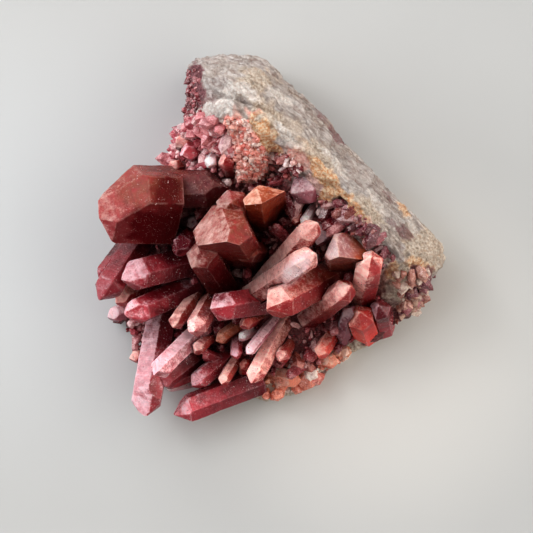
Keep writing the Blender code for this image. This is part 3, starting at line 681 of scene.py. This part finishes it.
def rock_relief(points, masks, bed):
    """How far each point of the rock stands out along its normal, in millimetres."""
    lumps = noise_field(points, 5.0, 4) * 0.75 + noise_field(points, 2.2, 5) * 0.45
    lumps += ridges(points, 1.3, 7) * 0.55
    sugar = ridges(points, 1.2, 6) * 0.7
    relief = np.where(bed, lumps * 0.9 + sugar + 0.25, lumps * 0.6 + wall_relief(points))
    relief += masks["pink"] * (sugar - 0.1) * 0.8
    relief -= masks["dark"] * 1.8
    from_spur = (points[:, :2] - SPUR_PLACE) / SPUR_REACH
    relief += SPUR_MM * np.exp(-from_spur[:, 0] ** 2 - from_spur[:, 1] ** 2)
    for crack in CRACKS:
        near = np.clip(1 - line_distance(points[:, :2], crack) / CRACK_WIDTH_MM, 0, 1)
        relief -= near * CRACK_DEPTH_MM * (points[:, 2] > CRACKS_ABOVE_MM)
    return relief


def bed_cover(points, bed):
    """How much of the bed's dark red quartz covers the rock: none on the crest, all between the crystals."""
    far = line_distance(points[:, :2], CREST) + noise_field(points, 2.4, 12) * 1.6
    return np.where(bed, np.clip((far - BED_FROM_MM) / BED_FADE_MM, 0, 1), 0)


def rock_patterns(tree):
    """The noises that the look of the rock is built from. The streaked ones run along the wall."""
    place = place_mm(tree)
    along_wall = {"Vector": place, "Rotation": (0, 0, math.atan2(WALL_ACROSS[0], WALL_ACROSS[1]))}
    turned = node(tree, "Mapping", along_wall).outputs[0]
    streaked = node(tree, "Mapping", {"Vector": turned, "Scale": (0.22, 1.0, 1.0)}).outputs[0]
    at = SimpleNamespace(place=place)
    at.broad = grain(tree, place, 9.0, 4, 0.6, 0.6)
    at.streak = grain(tree, streaked, 1.1, 8, 0.72, 0.8)
    at.vein = grain(tree, streaked, 3.6, 5, 0.6, 1.2)
    at.fine = grain(tree, place, 0.6, 5, 0.65)
    at.dots = grain(tree, place, 0.28, 2, 0.5)
    # thin cracks that follow the wall
    away = math_node(tree, "SUBTRACT", grain(tree, streaked, 1.1, 3, 0.6, 1.6), 0.5)
    crack = inverse(tree, ramp(tree, math_node(tree, "ABSOLUTE", away), 0.006, 0.030))
    at.crack = product(tree, crack, ramp(tree, at.broad, 0.42, 0.60))
    # and wider ones that part it into blocks
    wander = node(tree, "TexNoise", {"Vector": place, "Scale": 0.7, "Detail": 3.0}).outputs["Color"]
    webbed = vector_node(tree, "ADD", place, wander)
    web = cells(tree, webbed, 0.30, "Distance", "DISTANCE_TO_EDGE")
    at.web = inverse(tree, ramp(tree, web, 0.01, 0.16))
    return at


def rock_colour(tree, at):
    """Grey streaks, then tan patches, white veins and brown cracks, then the bed and the stains over them."""
    colour = blend(tree, ramp(tree, at.streak, 0.38, 0.60), (0.40, 0.31, 0.28), (0.68, 0.62, 0.59))
    layers = (
        (ramp(tree, at.broad, 0.5, 0.7), 0.5, (0.60, 0.47, 0.37)),
        (ramp(tree, at.vein, 0.54, 0.68), 0.5, (0.86, 0.84, 0.83)),
        (ramp(tree, at.fine, 0.58, 0.70), 0.45, (0.30, 0.19, 0.155)),
        (at.crack, 0.60, (0.26, 0.15, 0.11)),
        (at.web, 0.30, (0.30, 0.20, 0.165)),
    )
    for cover, most, tint in layers:
        colour = blend(tree, product(tree, cover, most), colour, tint)
    bed_colour = blend(tree, ramp(tree, at.fine, 0.35, 0.65), *BED_COLOURS)
    colour = blend(tree, attribute(tree, "bed"), colour, bed_colour)
    for name, (dark, pale) in STAIN_COLOURS.items():
        stain = blend(tree, ramp(tree, at.fine, 0.38, 0.62), dark, pale)
        broken = linear(tree, at.fine, 0.5, attribute(tree, name))
        colour = blend(tree, ramp(tree, broken, 0.42, 0.95), colour, stain)
    return blend(tree, product(tree, ramp(tree, at.dots, 0.62, 0.72), 0.5), colour, (0.80, 0.76, 0.72))


def rock_material():
    """Vein rock: grey crystalline streaks, with stains where the mesh's masks put them."""
    material, tree, shader = new_material("vein_rock")
    at = rock_patterns(tree)
    normal = bumped(tree, [
        (at.streak, 0.6), (inverse(tree, at.web), 0.2), (inverse(tree, at.crack), 0.25),
        (at.fine, 0.6), (at.dots, 0.2),
    ])
    set_inputs(tree, shader, {
        "Base Color": rock_colour(tree, at),
        "Normal": glitter(tree, at.place, normal, 0.8, 0.35),
        "Roughness": linear(tree, at.fine, 0.4, 0.42, clamp=True),
        "IOR": IOR,
    })
    return material


def rock_detail():
    """The shown rock."""
    mesh = fine_rock_mesh()
    points = read_vectors(mesh.vertices) / MM
    normals = read_vectors(mesh.vertex_normals, "vector")
    bed = inside_outline(points[:, :2], BED_OUTLINE) & (normals[:, 2] > STEEPEST_BED)
    ragged = noise_field(points, 1.7, 3) * 0.45 + noise_field(points, 5.0, 8) * 0.35
    masks = stain_masks(points, STAINS, ragged)
    relief = rock_relief(points, masks, bed)
    relief[points[:, 2] < UNDERSIDE_MM] = 0
    moved = points + normals * relief[:, None]
    moved[:, 2] = np.maximum(moved[:, 2], 0)
    moved[points[:, 2] < REST_MM, 2] = 0
    mesh.vertices.foreach_set("co", (moved * MM).astype(np.float32).ravel())
    mesh.update()
    masks["bed"] = bed_cover(moved, bed)
    for name, values in masks.items():
        write_attribute(mesh, name, values)
    smooth_shaded(mesh)
    return link_piece("vein_rock", mesh, rock_material(), ["matrix_rock"])


# ---- Druse: many small crystals on the rock, as a few joined meshes ----

RED = [(0.26, 0.03, 0.045), (0.40, 0.08, 0.095), (0.16, 0.012, 0.02), (0.56, 0.22, 0.23)]
PINK = [(0.78, 0.32, 0.34), (0.92, 0.64, 0.65), (0.68, 0.24, 0.26), (0.88, 0.54, 0.54), (0.52, 0.10, 0.13)]
SPARKLE = [(0.72, 0.42, 0.41), (0.84, 0.64, 0.62), (0.58, 0.26, 0.27)]
# the salmon sugar's colours, made paler to stand in for light on the shaded slope: partly painted light
SALMON = [(1.0, 0.52, 0.45), (1.0, 0.42, 0.35), (1.0, 0.74, 0.67), (0.98, 0.34, 0.28)]
EDGE = [(0.84, 0.32, 0.18), (0.88, 0.54, 0.42), (0.90, 0.78, 0.70), (0.62, 0.18, 0.14), (0.80, 0.24, 0.15)]
TAN = [(0.68, 0.44, 0.34), (0.80, 0.64, 0.54), (0.50, 0.22, 0.17), (0.62, 0.32, 0.25)]
CAVE = [(0.66, 0.26, 0.24), (0.40, 0.09, 0.09), (0.80, 0.50, 0.46), (0.22, 0.03, 0.04), (0.86, 0.70, 0.68)]
DUSKY = [(0.34, 0.10, 0.12), (0.20, 0.03, 0.05), (0.50, 0.30, 0.31), (0.12, 0.02, 0.03), (0.30, 0.08, 0.07)]
# One patch: its name, slot, outline, count, range of widths, range of lengths over the width, lean,
# colours and the CAD nodes it stands for. The lean is added to the surface's normal to say which way the
# crystals point.
Patch = namedtuple("Patch", "name slot outline count width length lean colours nodes")
PATCHES = [
    Patch("upper_left_sugar", "wine", [
        (-19, 31), (-12.5, 29), (-9, 25), (-7.5, 18), (-11.5, 15.4), (-25, 14.4), (-25.5, 23),
    ], 560, (0.7, 3.9), (0.7, 1.4), (-0.6, -0.1, 0.4), PINK, ["upper_left_druse"]),
    Patch("rim_sugar", "wine", [
        (-22, 43), (-17.5, 42), (-17.5, 36), (-16, 30), (-21, 27), (-22.5, 34),
    ], 300, (0.5, 2.0), (0.4, 0.9), (-0.2, 0.0, 0.3), RED, []),
    Patch("ridge_foot_sugar", "wine", [
        (15.7, 9.6), (20.8, 8.1), (26.7, 1.7), (30.9, -4.7), (27.5, -7.5), (22.5, -0.1), (16.7, 4),
    ], 170, (0.5, 3.6), (0.8, 1.6), (-0.9, -0.7, 0.1), DUSKY, ["ridge_foot_druse"]),
    Patch("corner_sugar", "wine", [
        (30.8, -8.6), (35, -7.6), (40.5, -7.6), (39.5, -12.6), (36.5, -17.6), (31.6, -20.6), (33, -14.1),
    ], 170, (0.6, 3.6), (0.5, 1.0), (0.9, -1.1, -0.1), TAN + DUSKY[:2], ["corner_druse"]),
    Patch("front_edge_sugar", "wine", [
        (-4.5, -35.1), (6.5, -30.1), (17.5, -24.6), (21.5, -27.6), (13.5, -33.6), (4.5, -39.1), (-4.5, -40.6),
    ], 150, (0.9, 5.2), (0.4, 0.9), (0.1, -0.5, 0.6), EDGE, ["front_edge_druse"]),
    Patch("left_bed_sugar", "wine", [
        (-36.5, -12.1), (-28.5, -8.1), (-26.5, -23.1), (-32.5, -26.1), (-37, -18.1),
    ], 200, (0.7, 2.8), (0.8, 1.8), (-0.7, -0.3, 0.4), PINK, ["left_bed_druse"]),
    Patch("cave_sugar", "wine", [
        (-1.5, 21), (1, 21.5), (5, 21), (8, 18), (5, 14.5), (-1.5, 14.5),
    ], 170, (0.5, 2.4), (0.8, 1.7), (0.2, -0.8, 0.5), CAVE, []),
    Patch("bed_sugar", "wine", [
        (-22, 14), (-8, 15), (-1.5, 15), (7.5, 15), (14, 10), (20.5, 2), (25.5, -5),
        (28, -14), (29.5, -18), (27.5, -21.5), (19, -26.5), (11, -31.5), (0, -36),
        (-16, -37), (-32, -34), (-39, -18), (-30, 4),
    ], 1500, (0.6, 3.4), (1.0, 2.4), (-0.3, -0.4, 0.5), RED * 3 + SPARKLE[:2], []),
    Patch("salmon_sugar", "rose", [
        (-10.5, 30), (-6, 29.5), (-1, 21.5), (-1.5, 15.5), (-8, 15), (-10, 22),
    ], 1900, (0.45, 1.6), (0.8, 1.5), (-1.5, 0.6, 1.4), SALMON, []),
]
DRUSE_ABOVE_MM = 1.2  # no small crystal has its foot lower than this
STEEPEST_DRUSE = -0.1  # or where the rock's normal points further down than this
DRUSE_SCATTER = 0.28  # how far the crystals' directions stray
CORNERS = 6


def druse_material():
    """Small quartz crystals that carry their own colours, clouded and dusted, the dust thickest on the lit
    side as painted light.
    """
    material, tree, shader = new_material("druse")
    place = place_mm(tree)
    tint = attribute(tree, "tint", "Color")
    patch = grain(tree, place, 1.3, 4, 0.6)
    fine = grain(tree, place, 0.4, 3, 0.6)
    deep = vector_node(tree, "MULTIPLY", tint, (0.62, 0.50, 0.52))
    colour = blend(tree, ramp(tree, patch, 0.34, 0.56), deep, tint)
    # pale dust, thickest on the side facing the key light: partly real dust, partly painted light
    light = ramp(tree, facing(tree, PALE_LIT_SIDE), 0.66, 0.96)
    dusted_and_lit = product(tree, ramp(tree, math_node(tree, "ADD", patch, fine), 0.95, 1.25), 0.55)
    dusted_and_lit = product(tree, dusted_and_lit, linear(tree, light, 0.8, 0.2))
    normal = bumped(tree, [(patch, 0.15), (fine, 0.08)])
    set_inputs(tree, shader, {
        "Base Color": blend(tree, dusted_and_lit, colour, (0.86, 0.66, 0.64)),
        "Normal": glitter(tree, place, normal, 0.5, 0.25),
        "Roughness": linear(tree, fine, 0.3, 0.10, clamp=True),
        "IOR": IOR, "Transmission Weight": 0.15, "Coat Weight": 0.2, "Coat Roughness": 0.1,
    })
    return material


def solid_trees(names):
    """A search tree for each named CAD node, with its box."""
    found = []
    for name in names:
        mesh = frame["nodes"][name].data
        points = [vert.co.copy() for vert in mesh.vertices]
        faces = [tuple(polygon.vertices) for polygon in mesh.polygons]
        found.append((*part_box(name), BVHTree.FromPolygons(points, faces)))
    return found


def buried(point, solids, margin):
    """Whether a point lies inside one of the solids, or within the margin of it."""
    for low, high, tree in solids:
        if any(point[axis] < low[axis] - margin or point[axis] > high[axis] + margin for axis in range(3)):
            continue
        hit, normal, _, distance = tree.find_nearest(point)
        if distance < margin or (point - hit).dot(normal) < 0:
            return True
    return False


def spread(rng, sizes, power):
    """A random size between two, with more small ones than large ones."""
    least, most = sizes
    return least * (most / least) ** (rng.uniform() ** power)


def small_crystal(rng, width, length):
    """The points of one small crystal, root at the origin and tip up Z, with an uneven end."""
    turn = rng.uniform(0, 2 * math.pi)
    angles = turn + np.arange(CORNERS) * 2 * math.pi / CORNERS
    reach = width / 2 * rng.uniform(0.8, 1.15, CORNERS)
    ring = np.stack([np.cos(angles) * reach, np.sin(angles) * reach], axis=1)
    shoulder = np.maximum(length - width * rng.uniform(0.35, 0.75, CORNERS), length * 0.3)
    foot = np.column_stack([ring, np.full(CORNERS, -width * 0.6)])
    top = np.column_stack([ring * 0.96, shoulder])
    apex = np.array([[*rng.uniform(-0.18, 0.18, 2) * width, length]])
    return np.concatenate([foot, top, apex])


SMALL_FACES = (
    [(i, (i + 1) % CORNERS, CORNERS + (i + 1) % CORNERS, CORNERS + i) for i in range(CORNERS)]
    + [(CORNERS + i, CORNERS + (i + 1) % CORNERS, 2 * CORNERS) for i in range(CORNERS)]
    + [tuple(reversed(range(CORNERS)))]
)


def surface_samples(rng, mesh, count, allow):
    """Random places on a mesh where allow(middles in mm, unit normals) says so: (points, normals)."""
    mesh.calc_loop_triangles()
    points = read_vectors(mesh.vertices)
    triangles = np.empty(len(mesh.loop_triangles) * 3, np.int32)
    mesh.loop_triangles.foreach_get("vertices", triangles)
    corners = points[triangles.reshape(-1, 3)]
    middles = corners.mean(axis=1) / MM
    cross = np.cross(corners[:, 1] - corners[:, 0], corners[:, 2] - corners[:, 0])
    area = np.linalg.norm(cross, axis=1) + 1e-15
    normals = cross / area[:, None]
    weights = np.where(allow(middles, normals), area, 0)
    if not weights.sum():
        return np.zeros((0, 3)), np.zeros((0, 3))
    chosen = rng.choice(len(middles), count, p=weights / weights.sum())
    share = rng.dirichlet((1, 1, 1), count)
    return (corners[chosen] * share[:, :, None]).sum(axis=1), normals[chosen]


class SmallCrystals:
    """Gathers many small crystals into one mesh."""

    def __init__(self, pattern):
        self.pattern = pattern
        self.points, self.faces, self.tints = [], [], []

    def add(self, shape, way, place, colour):
        """One more crystal: its points in mm, the way it points, where it stands and its colour.

        Whatever would reach below the floor is flattened on it.
        """
        turn = np.array(Vector(way).to_track_quat("Z", "Y").to_matrix())
        start = len(self.points) * len(shape)
        points = shape @ turn.T * MM + place
        points[:, 2] = np.maximum(points[:, 2], 0)
        self.points.append(points)
        self.faces += [tuple(start + corner for corner in face) for face in self.pattern]
        self.tints.append(np.repeat([[*np.clip(colour, 0, 1), 1.0]], len(shape), axis=0))

    def mesh(self, name):
        """The joined mesh, with each crystal's colour on its points."""
        mesh = bpy.data.meshes.new(name)
        mesh.from_pydata(np.concatenate(self.points), [], self.faces)
        layer = mesh.attributes.new("tint", "FLOAT_COLOR", "POINT")
        layer.data.foreach_set("color", np.concatenate(self.tints).astype(np.float32).ravel())
        return mesh


def random_colour(rng, colours, jitter):
    """One of the colours, darker or brighter by a random factor."""
    return np.array(colours[rng.integers(len(colours))]) * rng.uniform(*jitter)


def druse_detail(patch, rock, solids, material, seed):
    """One patch of small crystals as one mesh."""
    rng = np.random.default_rng(seed)
    gathered = SmallCrystals(SMALL_FACES)

    def allow(middles, normals):
        inside = inside_outline(middles[:, :2], patch.outline)
        return inside & (middles[:, 2] > DRUSE_ABOVE_MM) & (normals[:, 2] > STEEPEST_DRUSE)

    places, normals = surface_samples(rng, rock.data, patch.count, allow)
    for place, normal in zip(places, normals):
        width = spread(rng, patch.width, 1.8)
        length = width * rng.uniform(*patch.length)
        lean = np.array(patch.lean) * rng.uniform(0.2, 1.0)
        way = Vector(normal + lean + rng.normal(0, DRUSE_SCATTER, 3)).normalized()
        colour = random_colour(rng, patch.colours, (0.82, 1.25))
        shape = small_crystal(rng, width, length)
        if not buried(Vector(place) + way * (0.5 * length * MM), solids, 0.25 * width * MM):
            gathered.add(shape, way, place, colour)
    return link_piece(patch.name, gathered.mesh(patch.name), material, patch.nodes)


SUGAR_COUNT = 13000
SUGAR_WIDTH_MM = (0.10, 0.44)
ETCHED_SHARE = 0.3  # how much of the others' sugar the dull pieces have
CHIP_FACES = ((0, 1, 4), (1, 2, 4), (2, 3, 4), (3, 0, 4))


def sugar_chip(rng, width):
    """The points of one low four-sided grain, root at the origin."""
    angles = rng.uniform(0, 2 * math.pi) + np.arange(4) * math.pi / 2 + rng.uniform(-0.3, 0.3, 4)
    foot = np.stack([np.cos(angles), np.sin(angles), np.full(4, -0.3)], axis=1) * (width / 2)
    peak = np.array([[*rng.uniform(-0.3, 0.3, 2), rng.uniform(0.4, 1.1)]]) * (width / 2)
    return np.concatenate([foot, peak])


def sugar_on_crystals(crystals, material, seed):
    """The sugar of tiny grains that grew in patches on the large crystals, given as name: piece."""
    rng = np.random.default_rng(seed)
    gathered = SmallCrystals(CHIP_FACES)
    clean_shaded_side = np.array(Vector(CLEAN_SHADED_SIDE).normalized())

    def allow(middles, normals):
        patchy = noise_field(middles, 4.0, 21) + noise_field(middles, 1.4, 22) * 0.5
        # not on faces that turn down or to the clean, shaded side
        return (patchy > 0.0) & (normals[:, 2] > -0.3) & (normals @ clean_shaded_side < 0.7)

    areas = {name: sum(polygon.area for polygon in crystals[name].data.polygons) for name in crystals}
    for name, area in areas.items():
        share = ETCHED_SHARE if COATS.get(name, PLAIN).gloss < PLAIN.gloss else 1.0
        count = int(SUGAR_COUNT * share * area / sum(areas.values()))
        places, normals = surface_samples(rng, crystals[name].data, count, allow)
        for place, normal in zip(places, normals):
            width = spread(rng, SUGAR_WIDTH_MM, 2.2)
            way = Vector(normal + rng.normal(0, 0.35, 3)).normalized()
            colour = random_colour(rng, SPARKLE, (0.75, 1.15))
            gathered.add(sugar_chip(rng, width), way, place, colour)
    return link_piece("crystal_sugar", gathered.mesh("crystal_sugar"), material)


# ---- Floor, light and camera ----

VIEW_CENTRE = (-0.865, -6.75)  # where the camera's axis meets the floor
CAMERA_HEIGHT_MM = 1200
LENS_MM, SENSOR_MM = 318.8, 36.0
FLOOR_SIZE = 4.0  # metres
FLOOR_COLOURS = ((0.485, 0.490, 0.487), (0.505, 0.510, 0.507))
# Paler places on the table top, painted light that lifts the object's shadow and the dimmer ring around it:
# where, the distances they fade out between, and their colour.
FLOOR_LIGHT_POOLS = [
    ((30.0, -30.0, 0.0), (12.0, 60.0), (0.640, 0.635, 0.615)),
    ((-58.0, 2.0, 0.0), (12.0, 75.0), (0.575, 0.590, 0.595)),
]
# Each lamp's name, place and width in metres, power and colour.
LAMPS = [
    ("window", (-0.52, 0.27, 0.44), 0.85, 3.0, (0.90, 0.95, 1.0)),
    ("bright_pane", (-0.50, 0.30, 0.50), 0.18, 1.1, (1.0, 0.97, 0.94)),
]
LAMP_AIM = Vector((0, 0, 0.01))
ROOM_LIGHT = 1.30


def build_floor():
    """A pale table top, with painted light around the specimen."""
    bpy.ops.mesh.primitive_plane_add(size=FLOOR_SIZE)
    floor = bpy.context.object
    floor.name = "floor"
    material, tree, shader = new_material("pale_floor")
    place = place_mm(tree)
    cloud = grain(tree, place, 60.0, 3, 0.5)
    colour = blend(tree, ramp(tree, cloud, 0.3, 0.7), *FLOOR_COLOURS)
    for centre, fade, tint in FLOOR_LIGHT_POOLS:
        away = vector_node(tree, "DISTANCE", place, centre, "Value")
        colour = blend(tree, inverse(tree, ramp(tree, away, *fade)), colour, tint)
    set_inputs(tree, shader, {"Base Color": colour, "Roughness": 0.6})
    floor.data.materials.append(material)


def square_light(name, place, width, power, colour):
    """A soft square lamp that faces the specimen."""
    data = bpy.data.lights.new(name, "AREA")
    data.shape = "SQUARE"
    data.size = width
    data.energy = power
    data.color = colour
    lamp = bpy.data.objects.new(name, data)
    bpy.context.scene.collection.objects.link(lamp)
    lamp.location = place
    lamp.rotation_euler = (LAMP_AIM - Vector(place)).to_track_quat("-Z", "Y").to_euler()


def build_room():
    """Light from all round: dimmer overhead and to the front, stronger and warmer at the right."""
    world = bpy.data.worlds.new("room")
    world.use_nodes = True
    tree = world.node_tree
    way = node(tree, "TexCoord").outputs["Generated"]

    def towards(direction, low, high):
        return ramp(tree, vector_node(tree, "DOT_PRODUCT", way, direction, "Value"), low, high)

    overhead = towards((0.0, 0.0, 1.0), 0.35, 1.0)
    level = math_node(tree, "SUBTRACT", 1.05, product(tree, overhead, 0.80))
    shade = product(tree, towards((0.0, -1.0, 0.0), -0.1, 0.8), 0.80)
    level = product(tree, level, inverse(tree, shade))
    level = linear(tree, towards((1.0, 0.0, 0.0), 0.1, 0.9), 0.75, level)
    warmth = towards((0.8, -0.5, 0.2), -0.7, 0.7)
    set_inputs(tree, tree.nodes["Background"], {
        "Color": blend(tree, warmth, (0.95, 0.96, 0.98), (1.0, 0.94, 0.87)),
        "Strength": product(tree, level, ROOM_LIGHT),
    })
    bpy.context.scene.world = world


def build_camera():
    """Straight above, with X to the right."""
    data = bpy.data.cameras.new("camera")
    data.lens, data.sensor_width = LENS_MM, SENSOR_MM
    data.clip_end = 10
    camera = bpy.data.objects.new("camera", data)
    camera.location = Vector((*VIEW_CENTRE, CAMERA_HEIGHT_MM)) * MM
    bpy.context.scene.collection.objects.link(camera)
    bpy.context.scene.camera = camera


def main():
    """The camera, the light and the floor, then the rock and all that stands on it."""
    names = [name for name in SLOT_OF if name != "matrix_rock" and not name.endswith("_druse")]
    build_camera()
    for lamp in LAMPS:
        square_light(*lamp)
    build_room()
    build_floor()
    rock = rock_detail()
    crystals = {name: crystal_detail(name) for name in names}
    solids = solid_trees(names)
    material = druse_material()
    for seed, patch in enumerate(PATCHES):
        druse_detail(patch, rock, solids, material, seed)
    sugar_on_crystals(crystals, material, len(PATCHES))
    bpy.context.scene.view_settings.view_transform = "Standard"
    bpy.context.scene.view_settings.look = "Medium High Contrast"


main()
